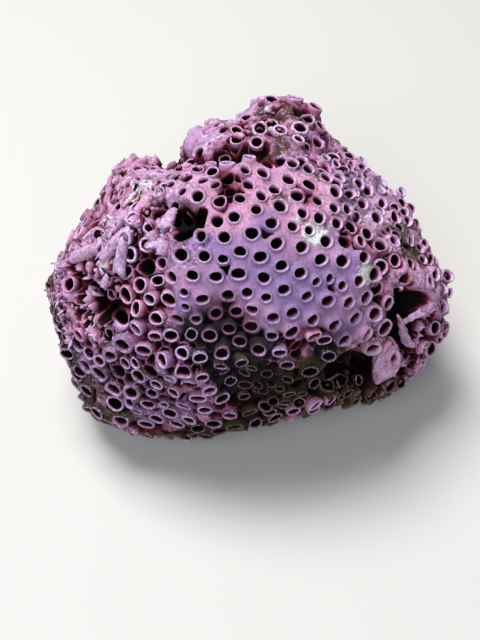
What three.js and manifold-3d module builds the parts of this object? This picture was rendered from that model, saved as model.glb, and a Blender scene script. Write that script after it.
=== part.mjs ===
// Organ pipe coral: a broken lump of the red colony, cut off flat where it grew on the reef.
//
// The skeleton is hundreds of narrow pipes that fan out from one growth centre, held together by
// thin platforms. It is one grown piece, so it is one solid: a lump with a pit for every pipe mouth.
// Millimetres, +Z up, +X to the right and +Y to the back as seen from the front. The origin is
// under the middle of the lump, on the flat cut that it rests on.

import * as THREE from 'three';
import { ConvexHull } from 'three/addons/math/ConvexHull.js';
import { mergeVertices } from 'three/addons/utils/BufferGeometryUtils.js';
import Module from 'manifold-3d';

// The lump before it is cut: a round body about the growth centre
const HALF_WIDTH = 27;
const HALF_DEPTH = 22;
const RISE = 19.6; // growth centre to crown
const DROP = 26; // growth centre to the foot, which the cut takes off
const CENTRE = new THREE.Vector3(-1.32, -0.6, 20); // growth centre above the cut

// Swells and hollows of the lump: azimuth and elevation from the growth centre, how far round
// they reach, all in degrees, and how far they stand out, in millimetres
const SWELLS = [
  { name: 'summit', at: [68, 44], reach: 16, out: 3.4 },
  { name: 'left of the summit', at: [96, 47], reach: 10, out: -1.6 },
  { name: 'rear lobe', at: [98, 14], reach: 14, out: 1 },
  { name: 'rear left bite', at: [140, 38], reach: 22, out: -6.5 },
  { name: 'left shoulder', at: [147, 26], reach: 12, out: 4.3 },
  { name: 'left slope', at: [172, 25], reach: 18, out: -6 },
  { name: 'right slope', at: [8, 29], reach: 22, out: -4.8 },
  { name: 'right lobe', at: [-14, -14], reach: 20, out: 3.2 },
  { name: 'front right foot', at: [-24, -26], reach: 14, out: 1.2 },
  { name: 'front undercut', at: [-64, -34], reach: 18, out: -1.8 },
  { name: 'front left foot', at: [-138, -30], reach: 20, out: 4.2 },
  { name: 'left flank', at: [-165, -12], reach: 20, out: 0.7 },
  { name: 'rear right flank', at: [40, -14], reach: 22, out: 0.8 },
  { name: 'rear saddle', at: [150, -20], reach: 24, out: -1.8 },
];

// Platforms that stand a little proud and end in a ledge
const PLATFORMS = [
  { name: 'front platform', at: [-74, 52], reach: 33, out: 1.1 },
  { name: 'summit platform', at: [66, 58], reach: 18, out: 0.8 },
  { name: 'lower front platform', at: [-112, -6], reach: 25, out: 0.9 },
  { name: 'right shelf', at: [-2, 10], reach: 22, out: 0.9 },
  { name: 'left crust', at: [-178, 36], reach: 21, out: 0.9 },
  { name: 'rear platform', at: [108, -2], reach: 30, out: 0.9 },
  { name: 'rear right platform', at: [46, 8], reach: 25, out: 0.9 },
  { name: 'low right platform', at: [-52, -22], reach: 18, out: 0.5 },
];
const LEDGE_WIDTH = 2.5; // degrees from the foot of a ledge to its brink

// Waves through the lump, each along a direction: their sum makes a ledge stray from a true ring,
// by so many degrees, in bays and spurs
const LEDGE_WAVES = [
  { along: [20, 10], length: 17, start: 60, high: 2 },
  { along: [110, -30], length: 12.5, start: 210, high: 1.9 },
  { along: [-60, 40], length: 9.3, start: 330, high: 1.6 },
  { along: [160, 65], length: 6.9, start: 100, high: 1.3 },
  { along: [70, -65], length: 5.3, start: 20, high: 1 },
];

// The same kind of waves, in millimetres, for the unevenness of the whole lump
const KNOB_WAVES = [
  { along: [12, 8], length: 13.2, start: 40, high: 0.2 },
  { along: [75, -20], length: 10.6, start: 200, high: 0.2 },
  { along: [130, 35], length: 8.7, start: 10, high: 0.18 },
  { along: [-40, 60], length: 7.4, start: 120, high: 0.16 },
  { along: [165, -50], length: 6.3, start: 300, high: 0.15 },
  { along: [-80, 15], length: 5.5, start: 75, high: 0.13 },
  { along: [40, -70], length: 4.7, start: 160, high: 0.12 },
];

// Grooves and pits with steep sides, from one direction to another in the same measures
const GROOVES = [
  { name: 'notch behind the shoulder', from: [122, 12], to: [131, 44], reach: 7, deep: 5 },
  { name: 'crown groove', from: [150, 64], to: [20, 78], reach: 5.5, deep: 2.6 },
  { name: 'step right of the summit', from: [44, 30], to: [36, 52], reach: 7, deep: 1.2 },
  { name: 'right cavity', from: [-27, 9], to: [-35, -9], reach: 6, deep: 8 },
  { name: 'low right hollow', from: [-53, 2], to: [-43, -7], reach: 6, deep: 3.6 },
  { name: 'left slot', from: [-142, 57], to: [-126, 59], reach: 5, deep: 3.4 },
  { name: 'front hollow', from: [-95, 30], to: [-90, 26], reach: 8, deep: 1.8 },
  { name: 'low front hollow', from: [-92, 5], to: [-88, -4], reach: 6, deep: 2.4 },
  { name: 'left gap', from: [-148, 16], to: [-139, 20], reach: 5, deep: 2.4 },
];
const GROOVE_SHARPNESS = 4; // 2 is a soft trough, more has steeper sides

// Pipes
const PIPE_PITCH = 2.98; // middle to middle
const MOUTH_RADIUS = 0.98;
const MOUTH_SIDES = 5;
const BORE_DEPTH = 3.4;
const STAND_SPREAD = 0.9; // how unevenly the mouths stand
const CUT_MARGIN = 1.3; // no mouth opens this close above the cut
const MOST_OF_GAP = 0.41; // a mouth takes at most this share of the way to the next one
const HEX_PACKING = Math.sin(THREE.MathUtils.degToRad(60)); // area of a pipe's cell over its pitch squared

// How the pipes find their places: scattered, then pushed evenly apart in rounds
const SCATTER = 0.12;
const EVENING_ROUNDS = 70;
const PUSH = 0.36; // share of a squeeze that one round takes out
const ELBOW_ROOM = 1.25 * PIPE_PITCH; // pipes closer than this push each other
const SEED = 8127;

const AREA_SAMPLES = 4000;
const GOLDEN_TURN = Math.PI * (3 - Math.sqrt(5));
const GROUND_SIZE = 120;

const CORAL_COLOUR = 0xa77a9c;
const CORAL_ROUGHNESS = 0.85;

const rad = THREE.MathUtils.degToRad;
const random = THREE.MathUtils.seededRandom;

function direction([azimuth, elevation]) {
  const flat = Math.cos(rad(elevation));
  return new THREE.Vector3(
    flat * Math.cos(rad(azimuth)),
    flat * Math.sin(rad(azimuth)),
    Math.sin(rad(elevation)),
  );
}

const swells = SWELLS.map((s) => ({ ...s, towards: direction(s.at), reach: rad(s.reach) }));
const platforms = PLATFORMS.map((p) => ({ ...p, towards: direction(p.at), reach: rad(p.reach) }));
const grooves = GROOVES.map((g) => ({
  ...g,
  start: direction(g.from),
  end: direction(g.to),
  reach: rad(g.reach),
}));

const wave = (w) => ({ ...w, along: direction(w.along), start: rad(w.start) });
const ledgeWaves = LEDGE_WAVES.map(wave);
const knobWaves = KNOB_WAVES.map(wave);

function waveSum(waves, spot) {
  let sum = 0;
  for (const w of waves) {
    sum += w.high * Math.sin((2 * Math.PI * spot.dot(w.along)) / w.length + w.start);
  }
  return sum;
}

// Angle from a direction to the nearest point of the arc between two others
function angleToArc(way, start, end) {
  const along = end.clone().sub(start);
  const share = way.clone().sub(start).dot(along) / along.lengthSq();
  const nearest = start.clone().addScaledVector(along, THREE.MathUtils.clamp(share, 0, 1));
  return way.angleTo(nearest);
}

// The lump's round form, without its grooves: distance from the growth centre along a direction
function bodyRadius(way) {
  const tall = way.z > 0 ? RISE : DROP;
  const round = Math.hypot(way.x / HALF_WIDTH, way.y / HALF_DEPTH, way.z / tall);
  let radius = 1 / round;
  for (const swell of swells) {
    radius += swell.out * Math.exp(-((way.angleTo(swell.towards) / swell.reach) ** 2));
  }
  return radius;
}

// The same with ledges, grooves and knobs
function lumpRadius(way) {
  let radius = bodyRadius(way);
  const spot = way.clone().multiplyScalar(radius);
  const stray = rad(waveSum(ledgeWaves, spot));
  for (const platform of platforms) {
    const past = way.angleTo(platform.towards) + stray - platform.reach;
    radius += platform.out * (1 - THREE.MathUtils.smoothstep(past, 0, rad(LEDGE_WIDTH)));
  }
  for (const groove of grooves) {
    const share = angleToArc(way, groove.start, groove.end) / groove.reach;
    radius -= groove.deep * Math.exp(-(share ** GROOVE_SHARPNESS));
  }
  return radius + waveSum(knobWaves, spot);
}

// One of many directions spread evenly round the growth centre
function spreadWay(i, count) {
  const height = 1 - (2 * (i + 0.5)) / count;
  const flat = Math.sqrt(1 - height ** 2);
  const turn = i * GOLDEN_TURN;
  return new THREE.Vector3(flat * Math.cos(turn), flat * Math.sin(turn), height);
}

function bodyArea() {
  let sum = 0;
  for (let i = 0; i < AREA_SAMPLES; i++) {
    sum += bodyRadius(spreadWay(i, AREA_SAMPLES)) ** 2;
  }
  return (4 * Math.PI * sum) / AREA_SAMPLES;
}

// Directions of the pipes, evenly spaced over the lump's form but not on a grid
function pipeWays() {
  random(SEED);
  const count = Math.round(bodyArea() / (HEX_PACKING * PIPE_PITCH ** 2));
  const ways = [];
  for (let i = 0; i < count; i++) {
    const way = spreadWay(i, count);
    way.x += SCATTER * (random() - 0.5);
    way.y += SCATTER * (random() - 0.5);
    way.z += SCATTER * (random() - 0.5);
    ways.push(way.normalize());
  }
  for (let round = 0; round < EVENING_ROUNDS; round++) {
    pushApart(ways);
  }
  return ways;
}

function pushApart(ways) {
  const spots = ways.map((way) => way.clone().multiplyScalar(bodyRadius(way)));
  const moves = spots.map(() => new THREE.Vector3());
  const apart = new THREE.Vector3();
  for (let i = 0; i < spots.length; i++) {
    for (let j = i + 1; j < spots.length; j++) {
      apart.subVectors(spots[i], spots[j]);
      const gap = apart.length();
      if (gap < ELBOW_ROOM) {
        apart.multiplyScalar((PUSH * (ELBOW_ROOM - gap)) / gap);
        moves[i].add(apart);
        moves[j].sub(apart);
      }
    }
  }
  ways.forEach((way, i) => way.copy(spots[i].add(moves[i]).normalize()));
}

function angleToNearest(ways, i) {
  let most = -1;
  for (let j = 0; j < ways.length; j++) {
    if (j !== i) most = Math.max(most, ways[i].dot(ways[j]));
  }
  return Math.acos(most);
}

// Every point of the surface as its direction and its distance from the growth centre
function surfacePoints() {
  const ways = pipeWays();
  const points = [];
  ways.forEach((way, i) => {
    const stand = (random() - 0.5) * STAND_SPREAD;
    const phase = random() * Math.PI * 2;
    const radius = lumpRadius(way);
    if (CENTRE.z + radius * way.z < CUT_MARGIN) {
      points.push({ way, radius });
      return;
    }
    points.push({ way, radius: radius - BORE_DEPTH });
    const opening = Math.min(MOUTH_RADIUS / radius, MOST_OF_GAP * angleToNearest(ways, i));
    points.push(...mouthRim(way, opening, phase, stand));
  });
  return points;
}

// The corners of a mouth, round the direction of its pipe
function mouthRim(way, opening, phase, stand) {
  const side = new THREE.Vector3(0, 1, 0).cross(way).normalize();
  const other = way.clone().cross(side);
  const rim = [];
  for (let i = 0; i < MOUTH_SIDES; i++) {
    const turn = phase + (i / MOUTH_SIDES) * 2 * Math.PI;
    const corner = way.clone();
    corner.addScaledVector(side, Math.cos(turn) * Math.tan(opening));
    corner.addScaledVector(other, Math.sin(turn) * Math.tan(opening));
    corner.normalize();
    rim.push({ way: corner, radius: lumpRadius(corner) + stand });
  }
  return rim;
}

// The directions lie on a ball, so a hull round them joins each to its nearest neighbours
function skinnedLump(points) {
  const hull = new ConvexHull().setFromPoints(points.map((p) => p.way));
  const number = new Map(points.map((p, i) => [p.way, i]));
  const places = new Float32Array(points.length * 3);
  points.forEach((p, i) => p.way.clone().multiplyScalar(p.radius).add(CENTRE).toArray(places, i * 3));
  const corners = [];
  for (const face of hull.faces) {
    let edge = face.edge;
    do {
      corners.push(number.get(edge.head().point));
      edge = edge.next;
    } while (edge !== face.edge);
  }
  const geometry = new THREE.BufferGeometry();
  geometry.setAttribute('position', new THREE.BufferAttribute(places, 3));
  geometry.setIndex(corners);
  return geometry;
}

function toSolid(wasm, geometry) {
  geometry.deleteAttribute('normal');
  geometry.deleteAttribute('uv');
  const merged = mergeVertices(geometry);
  return new wasm.Manifold(
    new wasm.Mesh({
      numProp: 3,
      vertProperties: new Float32Array(merged.attributes.position.array),
      triVerts: new Uint32Array(merged.index.array),
    }),
  );
}

function toGeometry(solid) {
  const mesh = solid.getMesh();
  const geometry = new THREE.BufferGeometry();
  geometry.setAttribute('position', new THREE.BufferAttribute(mesh.vertProperties, 3));
  geometry.setIndex(new THREE.BufferAttribute(mesh.triVerts, 1));
  return geometry;
}

const wasm = await Module();
wasm.setup();

const ground = new THREE.BoxGeometry(GROUND_SIZE, GROUND_SIZE, GROUND_SIZE);
ground.translate(0, 0, -GROUND_SIZE / 2);
const lump = toSolid(wasm, skinnedLump(surfacePoints())).subtract(toSolid(wasm, ground));

const coral = new THREE.Mesh(
  toGeometry(lump),
  new THREE.MeshStandardMaterial({
    color: CORAL_COLOUR,
    roughness: CORAL_ROUGHNESS,
    metalness: 0,
  }),
);
coral.name = 'coral_lump';

const group = new THREE.Group();
group.add(coral);

export default group;
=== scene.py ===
import math

import bmesh
import bpy
import mathutils
import numpy as np
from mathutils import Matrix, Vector


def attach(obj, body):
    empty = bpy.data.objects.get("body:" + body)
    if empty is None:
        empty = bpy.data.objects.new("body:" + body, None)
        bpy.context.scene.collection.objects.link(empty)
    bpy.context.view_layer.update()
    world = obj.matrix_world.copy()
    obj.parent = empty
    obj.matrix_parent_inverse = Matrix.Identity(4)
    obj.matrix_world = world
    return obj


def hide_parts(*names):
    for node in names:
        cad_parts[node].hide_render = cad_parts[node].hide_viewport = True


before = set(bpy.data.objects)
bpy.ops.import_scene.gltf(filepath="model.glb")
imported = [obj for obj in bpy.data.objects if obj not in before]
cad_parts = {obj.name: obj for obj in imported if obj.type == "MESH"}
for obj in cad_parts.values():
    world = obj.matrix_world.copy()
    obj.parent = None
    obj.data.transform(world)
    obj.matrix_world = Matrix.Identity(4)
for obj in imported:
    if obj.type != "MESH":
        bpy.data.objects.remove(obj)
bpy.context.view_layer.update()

MM = 0.001
rng = np.random.default_rng(seed=77)

# The coral's body: the sheets of lime that hold the pipes together, with the bores and the gaps between.
# The colony laid it down storey by storey. Its form is the solid's own, written here in the same terms,
# sunk by as much as the pipes stand out of it, and pierced wherever a pipe runs through.

# Lengths are in millimetres. A way out from the centre is an azimuth and an elevation in degrees.
HALF_WIDTH = 27.0
HALF_DEPTH = 22.0
RISE = 19.6
DROP = 26.0
CENTRE = np.array([-1.32, -0.6, 20.0])
# Each swell and each platform: its way, how many degrees it reaches, and how far it stands out.
SWELLS = [
    ("summit", (68, 44), 16, 3.4),
    ("left of the summit", (96, 47), 10, -1.6),
    ("rear lobe", (98, 14), 14, 1.0),
    ("rear left bite", (140, 38), 22, -6.5),
    ("left shoulder", (147, 26), 12, 4.3),
    ("left slope", (172, 25), 18, -6.0),
    ("right slope", (8, 29), 22, -4.8),
    ("right lobe", (-14, -14), 20, 3.2),
    ("front right foot", (-24, -26), 14, 1.2),
    ("front undercut", (-64, -34), 18, -1.8),
    ("front left foot", (-138, -30), 20, 4.2),
    ("left flank", (-165, -12), 20, 0.7),
    ("rear right flank", (40, -14), 22, 0.8),
    ("rear saddle", (150, -20), 24, -1.8),
]
PLATFORMS = [
    ("front platform", (-74, 52), 33, 1.1),
    ("summit platform", (66, 58), 18, 0.8),
    ("lower front platform", (-112, -6), 25, 0.9),
    ("right shelf", (-2, 10), 22, 0.9),
    ("left crust", (-178, 36), 21, 0.9),
    ("rear platform", (108, -2), 30, 0.9),
    ("rear right platform", (46, 8), 25, 0.9),
    ("low right platform", (-52, -22), 18, 0.5),
]
LEDGE_WIDTH = 5.0
# Each wave: the way it runs, its length, where it starts in degrees, and its height.
LEDGE_WAVES = [
    ((20, 10), 17.0, 60, 2.0),
    ((110, -30), 12.5, 210, 1.9),
    ((-60, 40), 9.3, 330, 1.6),
    ((160, 65), 6.9, 100, 1.3),
    ((70, -65), 5.3, 20, 1.0),
]
KNOB_WAVES = [
    ((12, 8), 13.2, 40, 0.2),
    ((75, -20), 10.6, 200, 0.2),
    ((130, 35), 8.7, 10, 0.18),
    ((-40, 60), 7.4, 120, 0.16),
    ((165, -50), 6.3, 300, 0.15),
    ((-80, 15), 5.5, 75, 0.13),
    ((40, -70), 4.7, 160, 0.12),
]
# Each groove: the ways it runs between, its half width in degrees, and its depth.
GROOVES = [
    ("notch behind the shoulder", (122, 12), (131, 44), 7, 5.0),
    ("crown groove", (150, 64), (20, 78), 5.5, 2.6),
    ("step right of the summit", (44, 30), (36, 52), 7, 1.2),
    ("right cavity", (-27, 9), (-35, -9), 6, 8.0),
    ("low right hollow", (-53, 2), (-43, -7), 6, 3.6),
    ("left slot", (-142, 57), (-126, 59), 5, 3.4),
    ("front hollow", (-95, 30), (-90, 26), 8, 1.8),
    ("low front hollow", (-92, 5), (-88, -4), 6, 2.4),
    ("left gap", (-148, 16), (-139, 20), 5, 2.4),
]
GROOVE_SHARPNESS = 4
FAR = 1e3
BARELY_DOWN = -1e-6


def towards(azimuth, elevation):
    a, e = math.radians(azimuth), math.radians(elevation)
    return np.array([math.cos(e) * math.cos(a), math.cos(e) * math.sin(a), math.sin(e)])


def unit(vectors):
    return vectors / np.linalg.norm(vectors, axis=-1, keepdims=True)


def angles_to(ways, at):
    return np.degrees(np.arccos(np.clip(ways @ towards(*at), -1, 1)))


def smoothstep(low, high, value):
    share = np.clip((value - low) / (high - low), 0, 1)
    return share * share * (3 - 2 * share)


def mix(first, second, share):
    return first + (second - first) * share


def wave_sum(waves, spots):
    total = 0
    for along, length, start, high in waves:
        total = total + high * np.sin(2 * np.pi * (spots @ towards(*along)) / length + math.radians(start))
    return total


def body_radius(ways):
    tall = np.where(ways[:, 2] > 0, RISE, DROP)
    sides = np.stack([ways[:, 0] / HALF_WIDTH, ways[:, 1] / HALF_DEPTH, ways[:, 2] / tall], axis=1)
    radius = 1 / np.linalg.norm(sides, axis=1)
    for _, at, reach, out in SWELLS:
        radius = radius + out * np.exp(-((angles_to(ways, at) / reach) ** 2))
    return radius


def groove_depth(ways):
    depth = np.zeros(len(ways))
    for _, start, end, reach, deepest in GROOVES:
        a, b = towards(*start), towards(*end)
        share = np.clip((ways - a) @ (b - a) / ((b - a) @ (b - a)), 0, 1)
        nearest = unit(a + share[:, None] * (b - a))
        off = np.degrees(np.arccos(np.clip((ways * nearest).sum(axis=1), -1, 1)))
        depth = depth + deepest * np.exp(-((off / reach) ** GROOVE_SHARPNESS))
    return depth


def lump_radius(ways):
    radius = body_radius(ways)
    spots = ways * radius[:, None]
    stray = wave_sum(LEDGE_WAVES, spots)
    for _, at, reach, out in PLATFORMS:
        past = angles_to(ways, at) + stray - reach
        radius = radius + out * (1 - smoothstep(0, LEDGE_WIDTH, past))
    return radius - groove_depth(ways) + wave_sum(KNOB_WAVES, spots)


def ground_radius(ways):
    down = np.minimum(ways[:, 2], BARELY_DOWN)
    return np.where(ways[:, 2] < BARELY_DOWN, -CENTRE[2] / down, FAR)


# Where each kind of surface lies: a way out from the centre, and how many degrees it reaches.
SMOOTH_SHEET = [
    ((-80, 44), 22), ((-108, 42), 15), ((-52, 36), 16), ((-70, 64), 20), ((-122, 66), 12), ((-40, 76), 14),
    ((-22, 56), 12), ((112, 42), 15),
]
ROUGH_SHEET = [
    ((-2, 32), 24), ((22, 28), 18), ((-16, 8), 12), ((34, 48), 14), ((-124, 8), 13), ((-132, -14), 13),
    ((-46, 14), 11), ((100, 14), 18), ((102, 42), 13), ((70, -8), 24), ((150, -12), 20), ((158, 34), 13),
    ((172, 47), 8), ((118, 66), 9),
]
CRUST = [
    ((0, 45), 26), ((0, 18), 30), ((-26, 20), 12), ((60, 26), 22), ((150, 30), 24), ((178, 50), 24),
    ((60, -5), 28), ((62, 64), 13), ((-162, 9), 14),
]
STAINED = [
    ((-118, -4), 22), ((-117, 11), 16), ((-138, -6), 18), ((-92, 2), 14), ((-70, 4), 10), ((-128, 58), 9),
]
GAPPY = [((-110, 19), 11), ((-94, 15), 12), ((-78, 13), 9), ((-62, 10), 9)]
PATCH_STRAY = 24.0
SHEET_EDGE = 3.0


def patch(ways, patches, edge=6.0, stray=2.0):
    most = np.zeros(len(ways))
    wander = stray * wave_sum(LEDGE_WAVES, ways * PATCH_STRAY)
    for at, reach in patches:
        most = np.maximum(most, 1 - smoothstep(-edge, edge, angles_to(ways, at) + wander - reach))
    return most


def sheet_share(ways):
    return patch(ways, SMOOTH_SHEET + ROUGH_SHEET, edge=SHEET_EDGE)


def stained_share(ways):
    return patch(ways, STAINED + GAPPY)


# How far the pipes stand free of the sheet that they run through, on each kind of surface.
SHEET_WAVES = [((30, 15), 11.0, 15, 0.5), ((-70, -25), 8.2, 140, 0.5), ((140, 50), 6.1, 250, 0.4)]
FREE_OPEN = 0.6
FREE_OPEN_SWAY = 0.6
FREE_CRUST = 0.08
FREE_SHEET = 0.0
FREE_STAINED = 0.15


def free_height(ways):
    open_free = FREE_OPEN * (1 + FREE_OPEN_SWAY * wave_sum(SHEET_WAVES, ways * PATCH_STRAY))
    free = mix(open_free, FREE_CRUST, patch(ways, CRUST))
    free = mix(free, FREE_SHEET, sheet_share(ways))
    return mix(free, FREE_STAINED, stained_share(ways) * (1 - patch(ways, SMOOTH_SHEET)))


# The lumps of crumbled lime: how wide and how high they are.
LUMP_SIZES = [(1.6, 0.34), (0.7, 0.16)]


def lumps(spots):
    total = np.zeros(len(spots))
    for size, high in LUMP_SIZES:
        total += high * np.array([mathutils.noise.noise(Vector(spot)) for spot in spots / size])
    return total


# The pipes' places: spread evenly over the form, then pushed apart by size, small ones closer together.
PIPE_PITCH = 2.65
AREA_SAMPLES = 4000
PLACE_SPREAD = 0.14
SMALL_SHARE, SMALL_SIZE = 0.16, 0.72
SIZE_SPREAD, CRUST_SIZE_SPREAD, ROUGH_SIZE_SPREAD = 0.05, 0.13, 0.1
FINE_SIZE, FINER_SIZE = 0.76, 0.9
FINE_MOUTHS = [
    ((2, 16), 28), ((24, 36), 18), ((178, 50), 20), ((150, 30), 14), ((40, 0), 20), ((-74, -8), 13),
    ((-52, -16), 12), ((-160, 8), 14),
]
FINER_MOUTHS = [((-96, 18), 24)]
PUSH_ROUNDS = 90
PUSH_SHARE = 0.36
PUSH_ROOM = 1.25
CLOSEST_PITCH = 2.7


def even_ways(count):
    turn = np.arange(count) * math.pi * (3 - math.sqrt(5))
    height = 1 - (2 * np.arange(count) + 1) / count
    flat = np.sqrt(1 - height**2)
    return np.stack([flat * np.cos(turn), flat * np.sin(turn), height], axis=1)


def pipes_apart():
    spots = pipe_ways * body_radius(pipe_ways)[:, None]
    apart = spots[:, None, :] - spots[None, :, :]
    return spots, apart, np.linalg.norm(apart, axis=2) + np.eye(pipe_count) * FAR


area = 4 * math.pi * np.mean(body_radius(even_ways(AREA_SAMPLES)) ** 2)
pipe_count = round(area / (math.sin(math.radians(60)) * PIPE_PITCH**2))
pipe_ways = even_ways(pipe_count)
pipe_ways = unit(pipe_ways + PLACE_SPREAD * (rng.random(pipe_ways.shape) - 0.5))
pipe_size = np.where(rng.random(pipe_count) < SMALL_SHARE, SMALL_SIZE, 1.0)
pipe_size = pipe_size * rng.normal(1, SIZE_SPREAD, pipe_count)
pipe_size = pipe_size * mix(1.0, FINE_SIZE, patch(pipe_ways, FINE_MOUTHS))
pipe_size = pipe_size * mix(1.0, FINER_SIZE, patch(pipe_ways, FINER_MOUTHS))
pipe_size = pipe_size * (1 + CRUST_SIZE_SPREAD * patch(pipe_ways, CRUST) * rng.uniform(-1, 1, pipe_count))
room = PUSH_ROOM * PIPE_PITCH * (pipe_size[:, None] + pipe_size[None, :]) / 2
for push in range(PUSH_ROUNDS):
    spots, apart, gap = pipes_apart()
    squeeze = np.where(gap < room, PUSH_SHARE * (room - gap) / gap, 0)
    pipe_ways = unit(spots + (apart * squeeze[:, :, None]).sum(axis=1))
spots, apart, gap = pipes_apart()
pipe_size = np.minimum(pipe_size, gap.min(axis=1) / CLOSEST_PITCH)

# What has become of each pipe: its end is bare, gone, grown shut, crusted or broken. Where a share is
# given twice, the first is for clean or open lime, and the second for stained or crusted lime.
MISSING = [
    ((-77, 53), 2.8), ((-125, 58), 6), ((-131, 48), 4.5), ((-150, 14), 5), ((-141, 12), 4), ((-28, 2), 9),
]
FEW_MOUTHS = [
    ((112, 42), 17), ((160, 38), 10), ((170, 48), 8), ((66, 52), 8), ((46, 52), 5), ((76, 66), 5),
]
BROKEN = [
    ((-158, 30), 17), ((-140, 50), 9), ((-148, 10), 8), ((-14, 6), 8), ((-28, -4), 12), ((-50, -6), 9),
    ((-22, -3), 6), ((130, 20), 12),
]
BARE_SHARES = 0.25, 0.55
MISSING_SHARES = 0.07, 0.03
CLOSED_SHARES = 0.04, 0.22
FEW_MOUTHS_CLOSED = 0.75
LOWEST_PIPE = 1.9
bare = rng.random(pipe_count) < mix(*BARE_SHARES, patch(pipe_ways, STAINED))
sheet = sheet_share(pipe_ways) * (~bare | (patch(pipe_ways, SMOOTH_SHEET) > 0.5))
rough_here = 1 - patch(pipe_ways, SMOOTH_SHEET)
pipe_size = pipe_size * (1 + ROUGH_SIZE_SPREAD * rough_here * rng.uniform(-1, 1, pipe_count))
missing = patch(pipe_ways, MISSING, edge=0.5, stray=0) > 0.5
missing |= rng.random(pipe_count) < mix(*MISSING_SHARES, patch(pipe_ways, STAINED)) * rough_here
closed = rng.random(pipe_count) < mix(*CLOSED_SHARES, patch(pipe_ways, CRUST)) * rough_here
closed |= rng.random(pipe_count) < FEW_MOUTHS_CLOSED * patch(pipe_ways, FEW_MOUTHS)
crust = patch(pipe_ways, CRUST) * (1 - sheet)
broken = patch(pipe_ways, BROKEN) * (1 - sheet)
pipe_radius = lump_radius(pipe_ways)
pipe_foot = CENTRE + pipe_ways * pipe_radius[:, None]
above_ground = (pipe_radius < ground_radius(pipe_ways)) & (pipe_foot[:, 2] > LOWEST_PIPE)

# Each pipe leans between straight out and square to the surface, and the low ones grow upwards. On the
# front they bow downhill, so that their mouths look narrower, and in some places they lean to one side.
UP = np.array([0, 0, 1])
ASKEW = np.array([0.3, 0.5, 0.8])
SLOPE_STEP = math.radians(4)
GROWTH_LIFT = math.radians(6)
BOWED = [((-86, 30), 38)]
BOW_ANGLE = math.radians(10)
LEANS = [
    ([((-142, -2), 28)], 0.5, towards(-92, 15)),
    ([((0, 30), 32), ((30, 45), 24), ((-18, -2), 16), ((60, 66), 16)], 0.75, towards(-88, 50)),
]
LEAN_EDGE = 12.0
AXIS_SPREAD, ROUGH_AXIS_SPREAD = 0.02, 0.12
STAND_SPREAD = 0.14
across = unit(np.cross(pipe_ways, ASKEW))
along = np.cross(pipe_ways, across)
slopes = []
for tangent in (across, along):
    ahead, behind = unit(pipe_ways + SLOPE_STEP * tangent), unit(pipe_ways - SLOPE_STEP * tangent)
    slopes.append(ahead * lump_radius(ahead)[:, None] - behind * lump_radius(behind)[:, None])
square = unit(np.cross(slopes[0], slopes[1]))
square = square * np.sign((square * pipe_ways).sum(axis=1))[:, None]
lift = GROWTH_LIFT * (1 - smoothstep(-0.1, 0.45, pipe_ways[:, 2]))
pipe_axis = unit(0.5 * pipe_ways + 0.5 * square + np.outer(lift, UP))
bowed = patch(pipe_ways, BOWED, edge=LEAN_EDGE, stray=0)
downhill = unit(pipe_axis * pipe_axis[:, 2:] - UP)
pipe_axis = unit(pipe_axis + math.tan(BOW_ANGLE) * bowed[:, None] * downhill)
for patches, pull, way in LEANS:
    pipe_axis = unit(pipe_axis + np.outer(pull * patch(pipe_ways, patches, edge=LEAN_EDGE), way))
axis_spread = AXIS_SPREAD + ROUGH_AXIS_SPREAD * rough_here
pipe_axis = unit(pipe_axis + axis_spread[:, None] * rng.normal(0, 1, pipe_axis.shape))
stand = rough_here * rng.normal(0, STAND_SPREAD, pipe_count)
tilt = np.arccos(np.clip((pipe_axis * square).sum(axis=1), -1, 1))
pipe_side = unit(np.cross(pipe_axis, ASKEW))
pipe_other = np.cross(pipe_axis, pipe_side)

# No mouth is quite round: each is squashed where the pipes bow, and bulges in two, three or five places.
SQUASH = 0.14
BULGES = (2, 3, 5)
BULGE_HEIGHTS = (0.055, 0.024, 0.007)
FILLED_SHARE = 0.1
mouth_wobble = np.abs(rng.normal(0, BULGE_HEIGHTS, (pipe_count, len(BULGES))))
mouth_wobble[:, 0] *= 1 + rough_here
mouth_turn = rng.random((pipe_count, len(BULGES))) * 2 * math.pi
mouth_filled = rng.random(pipe_count) < FILLED_SHARE
squash_turn = np.arctan2((downhill * pipe_other).sum(axis=1), (downhill * pipe_side).sum(axis=1))


def mouth_shape(which, angle):
    shape = 1 - SQUASH * bowed[which] * np.cos(angle - squash_turn[which]) ** 2
    for k, bulges in enumerate(BULGES):
        shape = shape + mouth_wobble[which, k] * np.sin(bulges * angle + mouth_turn[which, k])
    return shape


# The body's mesh starts as a ball with a corner at every pipe. Bevelling the corners gives one cell at
# each pipe and one between every three pipes, and each cell is then sealed, bored or left as a gap.
MEAN_RADIUS = 24.0
BEVEL_PERCENT = 43
SEALED, PIT, COLLARED, HOLLOW, GAP, DEEP_GAP = range(6)
FOOT_RADIUS = 1.38
AT_SITE = 0.3 * PIPE_PITCH
SEEN_FROM = towards(-90, 50)
# SHADED: the front hollow and the lower front. A painted shade darkens the lime and its lips there, and
# there are more gaps there too.
SHADED = [((-92, 22), 8), ((-104, 23), 5), ((-80, 19), 7), ((-90, 4), 10), ((-62, 16), 5)]
# Each surface: how many of its cells between the pipes are gaps, and over how many degrees it fades.
OPEN_SHARE = 0.7
OPEN_SHARES = [
    (CRUST, 0.3, 6.0),
    (ROUGH_SHEET, 0.38, SHEET_EDGE),
    (STAINED, 0.65, 6.0),
    (GAPPY, 0.65, 6.0),
    (SMOOTH_SHEET, 0.05, SHEET_EDGE),
    (SHADED, 0.7, SHEET_EDGE),
]
DEEP_SHARE = 0.5
RAGGED_HOLE = 0.75, 1.3
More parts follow.
